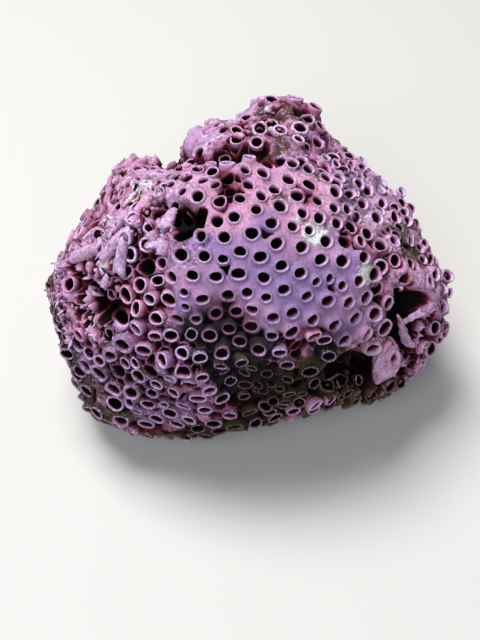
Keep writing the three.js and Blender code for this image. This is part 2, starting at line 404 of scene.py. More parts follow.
# Each kind of cell is inset in steps: how far, and the mark that the new corners get.
INSETS = {
    COLLARED: [(0.16, "ring", 2), (0.16, "ring", 3), (0.2, "ring", 5)],
    PIT: [(0.2, "ring", 5)],
    HOLLOW: [(0.05, "drop", 0.7), (0.16, "drop", 4.2)],
    GAP: [(0.18, "drop", 1.1)],
    DEEP_GAP: [(0.2, "drop", 2.4)],
}


def sort_cells(grid):
    # An operator can hand the cells back in another order on each run, so they go back by their numbers.
    number = grid.faces.layers.int["number"]
    grid.verts.index_update()

    def order(face):
        return face[number], sorted(corner.index for corner in face.verts)

    for rank, face in enumerate(sorted(grid.faces, key=order)):
        face.index = rank
    grid.faces.sort()


bpy.ops.object.select_all(action="DESELECT")
shell = bpy.data.meshes.new("coral_body")
shell.from_pydata((pipe_ways * MEAN_RADIUS).tolist(), [], [])
body = bpy.data.objects.new("coral_body", shell)
bpy.context.collection.objects.link(body)
bpy.context.view_layer.objects.active = body
body.select_set(True)
bpy.ops.object.mode_set(mode="EDIT")
bpy.ops.mesh.select_mode(type="FACE")
bpy.ops.mesh.select_all(action="SELECT")
bpy.ops.mesh.convex_hull(join_triangles=False)
bpy.ops.mesh.select_all(action="SELECT")
bpy.ops.mesh.bevel(offset_type="PERCENT", offset_pct=BEVEL_PERCENT, affect="VERTICES", segments=1)

grid = bmesh.from_edit_mesh(shell)
kind = grid.faces.layers.int.new("kind")
site = grid.faces.layers.int.new("site")
number = grid.faces.layers.int.new("number")
ring = grid.verts.layers.float.new("ring")
drop = grid.verts.layers.float.new("drop")
for corner in grid.verts:
    corner[ring] = 1
face_ways = unit(np.array([face.calc_center_median() for face in grid.faces]))
near = face_ways @ pipe_ways.T
nearest = near.argmax(axis=1)
off = np.arccos(np.clip(near.max(axis=1), -1, 1)) * MEAN_RADIUS
face_buried = lump_radius(face_ways) > ground_radius(face_ways)
open_share = np.full(len(face_ways), OPEN_SHARE)
for patches, share, edge in OPEN_SHARES:
    open_share = mix(open_share, share, patch(face_ways, patches, edge=edge))
dice = rng.random(len(face_ways))
seen = face_ways @ SEEN_FROM > 0.05
for i, face in enumerate(grid.faces):
    face[number] = i
    face[site] = nearest[i]
    at_site = off[i] < AT_SITE
    if face_buried[i] or (at_site and closed[nearest[i]]):
        face[kind] = SEALED
    elif at_site and missing[nearest[i]]:
        face[kind] = HOLLOW
    elif at_site:
        face[kind] = COLLARED if sheet[nearest[i]] > 0.5 else PIT
    elif dice[i] > open_share[i]:
        face[kind] = SEALED
    elif dice[i] < DEEP_SHARE * open_share[i]:
        face[kind] = DEEP_GAP
    else:
        face[kind] = GAP

# The collars on the front and the top get twice the corners, and every bored cell is made round.
bpy.ops.mesh.select_all(action="DESELECT")
for face in grid.faces:
    if face[kind] == COLLARED and len(face.verts) > 4 and seen[face.index]:
        face.select_set(True)
bmesh.update_edit_mesh(shell)
bpy.ops.mesh.subdivide(number_cuts=1, ngon=True, quadcorner="STRAIGHT_CUT")
grid = bmesh.from_edit_mesh(shell)
sort_cells(grid)
kind = grid.faces.layers.int["kind"]
site = grid.faces.layers.int["site"]
for face in grid.faces:
    if face[kind] not in (COLLARED, PIT, HOLLOW):
        continue
    way = Vector(pipe_ways[face[site]])
    foot_radius = FOOT_RADIUS * pipe_size[face[site]] * MEAN_RADIUS / pipe_radius[face[site]]
    for corner in face.verts:
        arm = corner.co - way * corner.co.dot(way)
        reach = foot_radius * (rng.uniform(*RAGGED_HOLE) if face[kind] == HOLLOW else 1)
        corner.co = way * MEAN_RADIUS + arm.normalized() * reach
bmesh.update_edit_mesh(shell)


def inset_cells(which, steps):
    bpy.ops.mesh.select_all(action="DESELECT")
    grid = bmesh.from_edit_mesh(shell)
    kind = grid.faces.layers.int["kind"]
    for face in grid.faces:
        face.select_set(face[kind] == which)
    bmesh.update_edit_mesh(shell)
    for thickness, layer, value in steps:
        bpy.ops.mesh.inset(thickness=thickness, depth=0, use_individual=True, use_even_offset=False)
        grid = bmesh.from_edit_mesh(shell)
        sort_cells(grid)
        mark = grid.verts.layers.float[layer]
        for face in grid.faces:
            if face.select:
                for corner in face.verts:
                    corner[mark] = value


for which, steps in INSETS.items():
    inset_cells(which, steps)
bpy.ops.object.mode_set(mode="OBJECT")
smooth = body.modifiers.new("smooth", "SUBSURF")
smooth.levels = smooth.render_levels = 1
bpy.ops.object.modifier_apply(modifier="smooth")


def corners(mesh):
    spots = np.empty(len(mesh.vertices) * 3, dtype=np.float32)
    mesh.vertices.foreach_get("co", spots)
    return spots.reshape(-1, 3).astype(float)


def place(mesh, spots):
    mesh.vertices.foreach_set("co", (spots * MM).astype(np.float32).ravel())


def read_mark(mesh, name):
    values = np.empty(len(mesh.vertices), dtype=np.float32)
    mesh.attributes[name].data.foreach_get("value", values)
    return values.astype(float)


def add_marks(mesh, **marks):
    for name, values in marks.items():
        spread = np.full(len(mesh.vertices), values, dtype=np.float32)
        mesh.attributes.new(name, "FLOAT", "POINT").data.foreach_set("value", spread)


# The cells are laid on the form. A collar's and a pit's rings run from their foot in the sheet to the
# bottom of the bore: their radius, and their height over the sheet.
RINGS = [1, 1.5, 2, 2.5, 3, 3.5, 4, 4.5, 5]
COLLAR_RADII = [1.38, 1.3, 1.17, 1.03, 0.9, 0.84, 0.8, 0.78, 0.76]
COLLAR_LEVELS = [0.0, 0.13, 0.27, 0.29, 0.1, -0.4, -0.9, -1.8, -3.0]
PIT_RADII = [1.22, 1.2, 1.15, 1.1, 1.05, 1.02, 1.0, 0.98, 0.95]
PIT_LEVELS = [0.0, -0.2, -0.4, -0.7, -1.0, -1.4, -1.8, -2.4, -3.0]
FILLED_LEVEL = -1.0
JAG, BROKEN_JAG = 0.03, 0.14
SMOOTH_LUMPY, CRUST_LUMPY, RUSTY_LUMPY = 0.15, 1.4, 0.6
RUSTY = [((66, 60), 15), ((30, 62), 8), ((60, 40), 10)]


def by_ring(collar, pit):
    return np.where(collared, np.interp(ring_of, RINGS, collar), np.interp(ring_of, RINGS, pit))


ring_of = read_mark(shell, "ring")
drop_of = read_mark(shell, "drop")
in_sheet = ring_of < 1.01
ways = unit(corners(shell))
near = np.argmax(ways @ pipe_ways.T, axis=1)
collared = sheet[near] > 0.5
perp = ways - pipe_ways[near] * (ways * pipe_ways[near]).sum(axis=1)[:, None]
angle = np.arctan2((perp * pipe_other[near]).sum(axis=1), (perp * pipe_side[near]).sum(axis=1))
radius = by_ring(COLLAR_RADII, PIT_RADII) * pipe_size[near] * mouth_shape(near, angle)
level = by_ring(COLLAR_LEVELS, PIT_LEVELS)
floor_level = np.where(mouth_filled[near], FILLED_LEVEL, COLLAR_LEVELS[-1])
rough = 1 - patch(ways, SMOOTH_SHEET, edge=4.0)
jag = (JAG + BROKEN_JAG * patch(ways, BROKEN)) * rough * in_sheet * rng.normal(0, 1, len(ways))
lumpy = lumps(ways * lump_radius(ways)[:, None]) * mix(1.0, CRUST_LUMPY, patch(ways, CRUST))
lumpy = lumpy * (1 + RUSTY_LUMPY * patch(ways, RUSTY))
jag = jag + mix(SMOOTH_LUMPY, 1.0, rough) * lumpy
top = np.minimum(lump_radius(ways) - free_height(ways) + jag, ground_radius(ways))
laid = CENTRE + ways * (top - drop_of)[:, None]
foot = CENTRE + pipe_ways * (pipe_radius - free_height(pipe_ways))[:, None]
out_of_sheet = stand + 0.5 * pipe_size * np.tan(tilt)
lifted = np.where(collared, jag * smoothstep(3.6, 2.6, ring_of) + out_of_sheet[near], 0)
bored = foot[near] + pipe_side[near] * (radius * np.cos(angle))[:, None]
bored = bored + pipe_other[near] * (radius * np.sin(angle))[:, None]
bored = bored + pipe_axis[near] * (lifted + np.maximum(level, floor_level))[:, None]
spots = mix(laid, bored, np.clip(ring_of - 1, 0, 1)[:, None])
place(shell, spots)

# The body's marks: how deep each corner lies, which colour the lime has there, what lies on it, and where
# shade and highlights are painted.
LILAC_ZONE = [
    ((-80, 42), 22), ((-108, 40), 16), ((-52, 34), 17), ((-72, 60), 9), ((-116, 20), 9), ((112, 42), 15),
    ((-118, -2), 20), ((-136, 0), 16), ((-118, 12), 24),
]
PALE_ZONE = [((104, 60), 10), ((127, 66), 8), ((110, 40), 14), ((167, 45), 10)]
CHALK = [
    ((-48, 53), 3.4), ((-38, 32), 2.4), ((-29, 23), 2.4), ((158, 31), 3), ((-168, 51), 5), ((66, 66), 3),
    ((-52, 58), 1.8), ((-150, 40), 3),
]
DIRT = [
    ((-162, -10), 11), ((-134, -26), 12), ((-90, 4), 9), ((-74, -6), 15), ((-52, -16), 15),
    ((-93, -14), 10), ((-110, -32), 14), ((-150, -24), 16), ((-78, -34), 22), ((-172, 2), 8),
    ((-10, 44), 7), ((-5, 18), 8), ((80, 78), 3), ((47, 57), 2.5), ((62, 70), 3), ((-10, 60), 4),
    ((-105, 72), 4), ((-32, 60), 5), ((-52, 68), 4), ((-18, 50), 6), ((-88, 14), 6),
]
# Soiled and shaded: olive dirt on the lower front, together with a painted shade there.
SOILED_AND_SHADED = [
    ((-72, -3), 15), ((-50, -12), 14), ((-88, -12), 9), ((-104, -36), 14), ((-74, -40), 16),
    ((-56, -32), 20), ((-66, 8), 7),
]
LEAST_LILAC = 0.35
DEEPEST = 1.8


def chalk_share(ways):
    return patch(ways, CHALK, edge=2.0, stray=0.6)


# A painted highlight: how far a spot on a mouth's edge lies on its lower side, where the pale lip is made
# wider and the bore less dark.
def painted_highlight_share(side_rise, other_rise, angle, way_rise):
    low = -(side_rise * np.cos(angle) + other_rise * np.sin(angle))
    return smoothstep(0.15, 0.75, low) * smoothstep(-0.4, 0.15, way_rise)


def bell(value, middle, width):
    return np.exp(-(((value - middle) / width) ** 2))


# The deep mark: the lime's own maroon with depth, and a painted black shade in the bores, the gaps, the
# hollows of the lumps, the grooves and the sheet between free-standing pipes.
hollowed = np.clip(-2.2 * lumpy, 0, 1) * rough
painted_highlight_low_side = painted_highlight_share(pipe_side[near, 2], pipe_other[near, 2], angle, ways[:, 2])
painted_highlight_low_side = painted_highlight_low_side * np.where(collared, 1 - patch(ways, SHADED), 0)
bore_depth = np.maximum(-level - 0.2 - 0.25 * painted_highlight_low_side, 0) * mix(2.1, 1.9, painted_highlight_low_side)
rust_depth = 0.3 * patch(ways, RUSTY) * (0.3 + hollowed)
below = np.where(in_sheet, drop_of + 0.14 * hollowed, bore_depth)
below = below + 0.7 * free_height(ways) + np.where(ring_of > 1.6, 0, rust_depth)
in_groove = groove_depth(ways)
cavern = 0.24 * np.maximum(in_groove - 0.8, 0) + 0.4 * np.maximum(in_groove - 2.4, 0)

lip = np.where(collared, bell(ring_of, 2.7, 0.8), 0)
# A painted shade in a thin ring at each collar's foot, where it meets the sheet.
painted_foot_shade = np.where(collared, bell(ring_of, 1.15, 0.25), 0)
# The pale lips get a painted highlight on their lower side, and are less pale under the painted shade of
# the front hollow.
pale_ring = np.where(collared, bell(ring_of, 2.9 + 0.2 * painted_highlight_low_side, 0.55 + 0.2 * painted_highlight_low_side), 0)
pale = pale_ring * mix(0.7, 1.0, rough) * (1 - 0.35 * patch(ways, SHADED, edge=4.0))
pale = pale + 0.35 * patch(ways, PALE_ZONE)
pale = pale + 0.2 * patch(ways, CRUST) * (1 - np.maximum(patch(ways, DIRT), patch(ways, RUSTY)))

# Dirt and painted shade: stains and grime, the lower front's dirt with a painted shade over it, an olive
# darkening towards the base, and a painted shade deeper in the gaps and grooves.
dirt = np.maximum.reduce([
    patch(ways, DIRT),
    1.7 * patch(ways, SOILED_AND_SHADED),
    0.9 * smoothstep(7.0, 2.0, spots[:, 2]),
    (0.22 - lumpy) * rough,
    (0.46 - 1.1 * lumpy) * patch(ways, STAINED),
    (0.52 - 1.4 * lumpy) * patch(ways, RUSTY),
    0.85 * stained_share(ways) * np.clip(drop_of / 0.7, 0, 1) * in_sheet,
    0.9 * np.clip(drop_of / 1.6 + cavern - 0.15, 0, 1) * in_sheet,
])
add_marks(
    shell,
    deep=np.clip(below / DEEPEST + cavern, 0, 1),
    lilac=np.maximum(patch(ways, LILAC_ZONE, edge=7.0), LEAST_LILAC),
    pale=pale,
    chalk=chalk_share(ways),
    dirt=dirt * (1 - 0.75 * lip) + 0.22 * painted_foot_shade * rough,
    # A painted near-black shade over the front hollow and the lower front, kept off the lips.
    gloom=patch(ways, SHADED, edge=8.0) * (1.15 - 0.6 * lumpy) * (1 - 0.8 * lip),
)
shell.update()

# Lime, dyed by the colony: lilac where the sheet is whole, pink on the pipes, and maroon in the bores,
# where a painted shade takes it on to black. One material does for every piece, and reads the marks that
# each piece carries.
PINK = (0.55, 0.29, 0.45, 1)
DUSTY = (0.4, 0.19, 0.28, 1)
LILAC = (0.225, 0.14, 0.305, 1)
ROSE_LILAC = (0.32, 0.175, 0.315, 1)
PALE = (0.62, 0.48, 0.74, 1)
WHITE_LIME = (0.52, 0.55, 0.51, 1)
CREASE_SHADE_RED = (0.17, 0.055, 0.05, 1)
OLIVE = (0.042, 0.038, 0.012, 1)
MOSS = (0.17, 0.17, 0.05, 1)
BROWN = (0.08, 0.05, 0.032, 1)
MAROON = (0.26, 0.035, 0.05, 1)
DARK_OLIVE = (0.036, 0.033, 0.01, 1)
BLACK_SOIL_AND_SHADE = (0.009, 0.008, 0.005, 1)
PAINTED_SHADE_BLACK = (0.01, 0.009, 0.008, 1)
PIT_RED = (0.12, 0.025, 0.03, 1)
SHADE_BLACK = (0.012, 0.002, 0.003, 1)
UNTINTED = (1, 1, 1, 1)
FAINT_RED = (0.9, 0.72, 0.78, 1)
MOSS_TOP, MOSS_FULL = 0.009, 0.003

skin = bpy.data.materials.new("coral_lime")
skin.use_nodes = True
nodes, links = skin.node_tree.nodes, skin.node_tree.links
shader = nodes["Principled BSDF"]
where_on = nodes.new("ShaderNodeTexCoord").outputs["Object"]


def connect(socket, value):
    if isinstance(value, bpy.types.NodeSocket):
        links.new(value, socket)
    else:
        socket.default_value = value


def noise(scale, detail, roughness=0.55):
    node = nodes.new("ShaderNodeTexNoise")
    node.inputs["Scale"].default_value = scale
    node.inputs["Detail"].default_value = detail
    node.inputs["Roughness"].default_value = roughness
    links.new(where_on, node.inputs["Vector"])
    return node.outputs["Fac"]


def speckle(scale):
    node = nodes.new("ShaderNodeTexVoronoi")
    node.inputs["Scale"].default_value = scale
    links.new(where_on, node.inputs["Vector"])
    return node.outputs["Distance"]


def attribute(name):
    node = nodes.new("ShaderNodeAttribute")
    node.attribute_name = name
    return node.outputs["Fac"]


def reckon(operation, first, second):
    node = nodes.new("ShaderNodeMath")
    node.operation = operation
    connect(node.inputs[0], first)
    connect(node.inputs[1], second)
    return node.outputs["Value"]


def times(first, second):
    return reckon("MULTIPLY", first, second)


def plus(first, second):
    return reckon("ADD", first, second)


def centred(value):
    return reckon("SUBTRACT", value, 0.5)


def between(value, low, high, bottom=0.0, top=1.0, curve="SMOOTHSTEP"):
    node = nodes.new("ShaderNodeMapRange")
    node.interpolation_type = curve
    links.new(value, node.inputs["Value"])
    node.inputs["From Min"].default_value = low
    node.inputs["From Max"].default_value = high
    node.inputs["To Min"].default_value = bottom
    node.inputs["To Max"].default_value = top
    return node.outputs["Result"]


def blend(share, first, second, way="MIX"):
    node = nodes.new("ShaderNodeMix")
    node.data_type = "RGBA"
    node.blend_type = way
    connect(node.inputs["Factor"], share)
    connect(node.inputs["A"], first)
    connect(node.inputs["B"], second)
    return node.outputs["Result"]


broad, patchy, fine, crumbled = noise(140, 2), noise(560, 3), noise(2600, 4, 0.65), noise(1500, 3, 0.7)
dirt_mark, lilac_mark, chalk_mark = attribute("dirt"), attribute("lilac"), attribute("chalk")

# The lime's own colours.
pink = blend(between(patchy, 0.42, 0.68), PINK, DUSTY)
lilac = blend(between(broad, 0.4, 0.62), LILAC, ROSE_LILAC)
colour = blend(lilac_mark, pink, lilac)

# Dirt and painted shade, from a brown film to black soil and shade, with moss low down and a painted red
# crease shade along thin lines.
dirty = between(plus(dirt_mark, centred(patchy)), 0.35, 0.8)
colour = blend(times(dirty, 0.93), colour, blend(between(broad, 0.42, 0.6), BROWN, OLIVE))
# The heaviest marks, on the lower front, go dark olive and then black: dirt with a painted shade.
colour = blend(between(dirt_mark, 0.95, 1.25), colour, DARK_OLIVE)
colour = blend(between(dirt_mark, 1.4, 1.9), colour, BLACK_SOIL_AND_SHADE)
split = nodes.new("ShaderNodeSeparateXYZ")
links.new(where_on, split.inputs["Vector"])
low_down = between(split.outputs["Z"], MOSS_TOP, MOSS_FULL)
colour = blend(times(low_down, between(patchy, 0.42, 0.58)), colour, MOSS)
# A painted red shade along thin crease lines in the sheet, standing in for the shadows of small ledges.
painted_crease_shade = between(reckon("ABSOLUTE", centred(noise(420, 3, 0.6)), 0.0), 0.03, 0.0)
painted_crease_shade = times(times(painted_crease_shade, between(patchy, 0.47, 0.56)), between(lilac_mark, 0.75, 0.45))
colour = blend(times(painted_crease_shade, 0.75), colour, CREASE_SHADE_RED)

# Worn lime is pitted and flecked. Chalky growth covers it in spots, and the lips are pale, with a painted
# highlight on their lower side.
worn = times(between(dirt_mark, 0.08, 0.3), between(dirt_mark, 1.2, 0.85))
colour = blend(times(times(between(speckle(950), 0.3, 0.16), worn), 0.75), colour, PIT_RED)
colour = blend(times(times(between(noise(3600, 2), 0.58, 0.68), worn), 0.65), colour, PALE)
chalky = between(plus(chalk_mark, times(centred(noise(1100, 3, 0.7)), 3.0)), 0.4, 0.75)
colour = blend(times(chalky, between(chalk_mark, 0.02, 0.3)), colour, WHITE_LIME)
colour = blend(times(attribute("pale"), between(fine, 0.25, 0.6)), colour, PALE)

# It darkens through its own maroon down the bores and gaps to a painted black shade, varies with its
# grain, and a painted shade makes it near black in the front hollow.
sunk = nodes.new("ShaderNodeValToRGB")
sunk.color_ramp.elements[0].color = UNTINTED
sunk.color_ramp.elements[1].position = 0.56
sunk.color_ramp.elements[1].color = SHADE_BLACK
sunk.color_ramp.elements.new(0.12).color = FAINT_RED
sunk.color_ramp.elements.new(0.32).color = MAROON
links.new(attribute("deep"), sunk.inputs["Fac"])
colour = blend(1.0, colour, sunk.outputs["Color"], "MULTIPLY")
colour = blend(1.0, colour, between(fine, 0.3, 0.7, 0.72, 1.2, "LINEAR"), "MULTIPLY")
mottled = blend(1.0, colour, between(crumbled, 0.38, 0.62, 0.55, 1.35, "LINEAR"), "MULTIPLY")
colour = blend(worn, colour, mottled)
gloomy = between(plus(attribute("gloom"), centred(patchy)), 0.12, 1.05)
colour = blend(times(gloomy, 0.97), colour, PAINTED_SHADE_BLACK)
links.new(colour, shader.inputs["Base Color"])
shader.inputs["Roughness"].default_value = 0.82
shader.inputs["Specular IOR Level"].default_value = 0.12
bump = nodes.new("ShaderNodeBump")
bump.inputs["Strength"].default_value = 0.55
bump.inputs["Distance"].default_value = 0.16 * MM
grain = plus(plus(fine, times(patchy, 0.8)), times(times(crumbled, worn), 2.0))
links.new(grain, bump.inputs["Height"])
links.new(bump.outputs["Normal"], shader.inputs["Normal"])
shell.materials.append(skin)
bpy.ops.object.shade_smooth()
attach(body, "root")
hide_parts("coral_lump")


# The standing pipes: thin tubes of the same lime, open at the top, that stand out of the sheets.
# One tube is turned from its outline and copied to each place, where it is leaned, dented and chipped.
PIPE_SIDES = 12
SIDE_TURN = 2 * math.pi / PIPE_SIDES
PIPE_OUTLINE = [
    (1.2, -2.6), (1.2, -0.2), (1.15, -0.05), (1.05, 0.02), (0.94, -0.06), (0.86, -0.4), (0.81, -1.2),
    (0.78, -2.8),
]
INNER_RADIUS = 1.0
RIM_DEPTH = 1.3
CHIPS, BROKEN_CHIPS = 0.1, 0.55
CUT_SHARE, BROKEN_CUT_SHARE = 0.04, 0.4
CUT_DEPTHS = 0.5, 1.6
HEIGHT, HEIGHT_SPREAD, BROKEN_HEIGHT_SPREAD = 0.1, 0.1, 0.3
LEAN_SPREAD, BROKEN_LEAN_SPREAD = 3.5, 13
PALE_TUBES = [
    ((53, 55), 6), ((48, 68), 5), ((28, 65), 5), ((49, 76), 4), ((76, 72), 5), ((37, 43), 4),
    ((-142, 45), 11),
]


def turned(name, outline, sides):
    mesh = bpy.data.meshes.new(name)
    edges = [(i, (i + 1) % len(outline)) for i in range(len(outline))]
    mesh.from_pydata([(r, 0, z) for r, z in outline], edges, [])
    obj = bpy.data.objects.new(name, mesh)
    bpy.context.collection.objects.link(obj)
    bpy.ops.object.select_all(action="DESELECT")
    bpy.context.view_layer.objects.active = obj
    obj.select_set(True)
    bpy.ops.object.mode_set(mode="EDIT")
    bpy.ops.mesh.select_all(action="SELECT")
    bpy.ops.mesh.spin(steps=sides, angle=2 * math.pi, center=(0, 0, 0), axis=(0, 0, 1))
    bpy.ops.mesh.select_all(action="SELECT")
    bpy.ops.mesh.remove_doubles(threshold=1e-4)
    bpy.ops.mesh.normals_make_consistent(inside=False)
    bpy.ops.object.mode_set(mode="OBJECT")
    return obj


def copy_at(model, spots, **marks):
    copy = model.copy()
    copy.data = model.data.copy()
    spots[:, 2] = np.maximum(spots[:, 2], 0)
    place(copy.data, spots)
    add_marks(copy.data, **marks)
    bpy.context.collection.objects.link(copy)
    return copy


def join_as(name, copies):
    bpy.ops.object.select_all(action="DESELECT")
    for copy in copies:
        copy.select_set(True)
    bpy.context.view_layer.objects.active = copies[0]
    bpy.ops.object.join()
    piece = bpy.context.view_layer.objects.active
    piece.name = piece.data.name = name
    piece.data.materials.clear()
    piece.data.materials.append(skin)
    bpy.ops.object.shade_smooth()
    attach(piece, "root")


pipe_model = turned("pipe_model", PIPE_OUTLINE, PIPE_SIDES)
pipe_shape = corners(pipe_model.data)
pipe_chalk = chalk_share(pipe_ways)
pipe_soil_and_shade = patch(pipe_ways, SOILED_AND_SHADED)
pipe_stain = stained_share(pipe_ways)
pipe_dirt = np.maximum.reduce([patch(pipe_ways, DIRT), 0.28 * patch(pipe_ways, STAINED), pipe_soil_and_shade])
pipe_shade = patch(pipe_ways, SHADED)
pale_tube = patch(pipe_ways, PALE_TUBES, edge=2.0, stray=0)


def chipped_rim(i):
    depth = mix(CHIPS, BROKEN_CHIPS, broken[i]) * (1 - 0.6 * pale_tube[i])
    chips = np.maximum(rng.random(PIPE_SIDES) - 0.5, 0) * 2 * depth
    chips = 0.65 * chips + 0.35 * np.roll(chips, 1)
    if rng.random() < CUT_SHARE + BROKEN_CUT_SHARE * broken[i]:
        cut = rng.uniform(*CUT_DEPTHS)
        facing_cut = np.cos(np.arange(PIPE_SIDES) * SIDE_TURN - rng.random() * 2 * math.pi)
        chips = chips + cut * smoothstep(-0.2, 0.8, facing_cut)
    return chips


def height_out(i):
    height = rng.normal(HEIGHT, mix(HEIGHT_SPREAD, BROKEN_HEIGHT_SPREAD, broken[i])) - 0.25 * broken[i]
    height = height - 0.14 * max(crust[i], pipe_stain[i]) * (1 - pale_tube[i])
    return height + 0.2 * math.tan(tilt[i]) + 0.3 * pale_tube[i]


def standing_pipe(i):
    local = pipe_shape.copy()
    level = pipe_shape[:, 2]
    turn = np.arctan2(local[:, 1], local[:, 0])
    inner = np.hypot(local[:, 0], local[:, 1]) < INNER_RADIUS
    chips = chipped_rim(i)[np.round(turn / SIDE_TURN).astype(int) % PIPE_SIDES]
    local[:, 2] += (height_out(i) - chips) * smoothstep(-RIM_DEPTH, -0.02, level)
    local[:, :2] *= 1 + 0.12 * pale_tube[i] * ~inner[:, None]
    local[:, :2] *= (pipe_size[i] * mouth_shape(np.full(len(local), i), turn))[:, None]
    lean = np.radians(rng.normal(0, mix(LEAN_SPREAD, BROKEN_LEAN_SPREAD, broken[i]), 2))
    up = unit(pipe_axis[i] + pipe_side[i] * math.tan(lean[0]) + pipe_other[i] * math.tan(lean[1]))
    side = unit(np.cross(pipe_other[i], up))
    other = np.cross(up, side)

    # A painted highlight on the lip's lower side: the pale reaches deeper and the bore darkens later
    # there.
    painted_highlight_low_side = painted_highlight_share(side[2], other[2], turn, pipe_ways[i, 2])
    painted_highlight_low_side = painted_highlight_low_side * (1 - max(pipe_soil_and_shade[i], pipe_shade[i]))
    # A random tint, and a painted shade for pipes that stand in grooves.
    shade = rng.uniform(-0.05, 0.1) + 0.06 * groove_depth(pipe_ways[i : i + 1])
    shade = shade * (1 - 0.8 * pipe_stain[i])
    # Down the bore and down the outer wall the deep mark rises: the lime's own maroon, then a painted
    # black shade.
    into_bore = 0.9 * smoothstep(0, 1, (-0.07 - 0.15 * painted_highlight_low_side - level) / (0.55 + 0.1 * painted_highlight_low_side))
    down_side = smoothstep(-0.5, -2.0, level) * mix(0.8, 0.4, pipe_stain[i])
    inner_lip = mix(0.2, 0.45, max(pipe_stain[i], bowed[i])) + 0.15 * painted_highlight_low_side
    pale = bell(level, 0, np.where(inner, inner_lip, 0.1))
    pale = pale * rng.uniform(mix(0.4, 0.85, pipe_stain[i]), 1.0)
    pale = pale * (1 - 0.8 * pipe_soil_and_shade[i]) * (1 - 0.3 * crust[i])
    pale = np.maximum(pale, pale_tube[i] * smoothstep(-1.4, -0.3, level))
    lilac = min(0.6 * rng.random() + 0.7 * pipe_stain[i], 1)
    dirt = (pipe_dirt[i] + 0.4 * pipe_soil_and_shade[i]) * smoothstep(0.5, -0.35, level)
    dirt = dirt + 0.14 * crust[i] * rng.random()
    return copy_at(
        pipe_model,
        pipe_foot[i] + local @ np.stack([side, other, up]),
        deep=np.clip(np.where(inner, into_bore, down_side) + shade, 0, 1),
        lilac=lilac,
        pale=pale * (1 - 0.5 * pipe_dirt[i]),
        chalk=pipe_chalk[i],
        dirt=dirt,
        # A painted shade in the front hollow, darkest low on the pipe.
        gloom=pipe_shade[i] * mix(0.25, 1.3, smoothstep(0.0, -0.7, level)),
    )


standing = above_ground & (sheet <= 0.5) & ~missing & ~closed
on_rear = pipe_ways[:, 1] > 0.25
on_left = ~on_rear & (pipe_ways[:, 0] < -0.15)
on_right = ~on_rear & ~on_left
for name, there in (("left_pipes", on_left), ("right_pipes", on_right), ("rear_pipes", on_rear)):
    join_as(name, [standing_pipe(i) for i in np.flatnonzero(standing & there)])
bpy.data.objects.remove(pipe_model)


# Broken walls: shards of tube wall left standing or lying where the storeys have crumbled.
# One curved shard is bent from a grid, given its thickness, and copied with other sizes and torn tops.
SHARD_STEPS = 5
SHARD_THICKNESS = 0.16
SHARD_WIDTHS, SHARD_HEIGHTS = (1.0, 2.6), (0.7, 1.6)
SHARD_FOOT = -0.7
LYING_LEANS, STANDING_LEANS = (60, 85), (-35, 35)
BROKEN_SHARDS, CRUST_SHARDS = 130, 90
SCATTER_WAYS = 6000
SCATTER_SPREAD = 0.03
SCATTER_LOWEST = 1.5
SCATTER_GROOVE = 1.6


def flat_grid(steps_across, steps_along):
    bpy.ops.object.select_all(action="DESELECT")
    bpy.ops.mesh.primitive_grid_add(x_subdivisions=steps_across, y_subdivisions=steps_along, size=1)
    return bpy.context.object


def thicken(piece, thickness, offset=0):
    wall = piece.modifiers.new("wall", "SOLIDIFY")
    wall.thickness = thickness
    wall.offset = offset
    bpy.ops.object.modifier_apply(modifier="wall")


def scattered(patches, count):
    ways = unit(even_ways(SCATTER_WAYS) + SCATTER_SPREAD * rng.normal(0, 1, (SCATTER_WAYS, 3)))
    weight = patch(ways, patches, edge=5.0)
    weight = weight * (1 - sheet_share(ways)) * (groove_depth(ways) < SCATTER_GROOVE)
    kept = (lump_radius(ways) * -ways[:, 2] < CENTRE[2] - SCATTER_LOWEST) & (weight > 0.05)
    chances = weight[kept] / weight[kept].sum()
    return ways[rng.choice(np.flatnonzero(kept), count, replace=False, p=chances)]


def sheet_radius(way, share_down):
    return lump_radius(way[None, :])[0] - free_height(way[None, :])[0] * share_down


def now_and_then(share, value, otherwise):
    return value if rng.random() < share else otherwise


